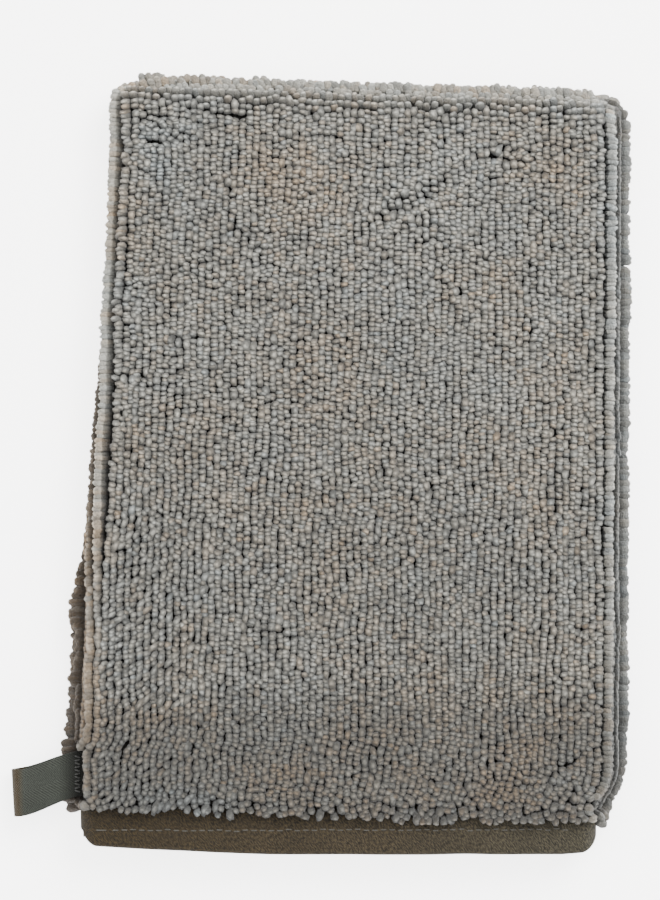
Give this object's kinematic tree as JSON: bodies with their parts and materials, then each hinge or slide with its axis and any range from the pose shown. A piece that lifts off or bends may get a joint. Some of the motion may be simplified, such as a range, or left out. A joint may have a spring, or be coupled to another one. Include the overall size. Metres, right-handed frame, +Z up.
{
  "type": "wash mitt",
  "caption": "Flat glove of looped microfibre, closed on three sides, with a twill-bound open mouth for the hand and a folded tape loop at one side for hanging.",
  "frame": {"origin": "on the flat resting face under the back panel, near the middle of the mitt", "axes": "+X across the mitt to the right, with the hang loop on the -X side; +Y towards the closed end, with the mouth at -Y; +Z up, out of the front panel"},
  "size_m": [0.1872, 0.2336, 0.0168],
  "materials": {
    "terry_pile": "looped microfibre terry, matt, with soft sheen",
    "ground_cloth": "fine knitted ground cloth, matt",
    "cuff_twill": "fine twill binding, matt",
    "loop_tape": "herringbone twill tape, matt",
    "seam_thread": "overlocked polyester thread",
    "stitch_thread": "twisted polyester sewing thread"
  },
  "bodies": {
    "back": {"back_ground": "ground_cloth", "back_pile": "terry_pile", "back_cuff_band": "cuff_twill", "back_cuff_topstitch": "stitch_thread", "left_side_seam": "seam_thread", "right_side_seam": "seam_thread", "top_seam": "seam_thread"},
    "front": {"front_ground": "ground_cloth", "front_pile": "terry_pile", "front_cuff_band": "cuff_twill", "front_cuff_topstitch": "stitch_thread"},
    "loop": {"hang_loop": "loop_tape", "loop_tack_stitches": "stitch_thread"}
  },
  "joints": [
    {"name": "mouth_open", "type": "hinge", "parent": "back", "child": "front", "pos_m": [0, 0.1168, 0.0084], "axis": [-1, 0, 0], "range_deg": [0, 8]},
    {"name": "loop_swing", "type": "hinge", "parent": "back", "child": "loop", "pos_m": [-0.0855, -0.094, 0.0084], "axis": [-0.2521, 0.9677, 0], "range_deg": [0, 100]}
  ]
}
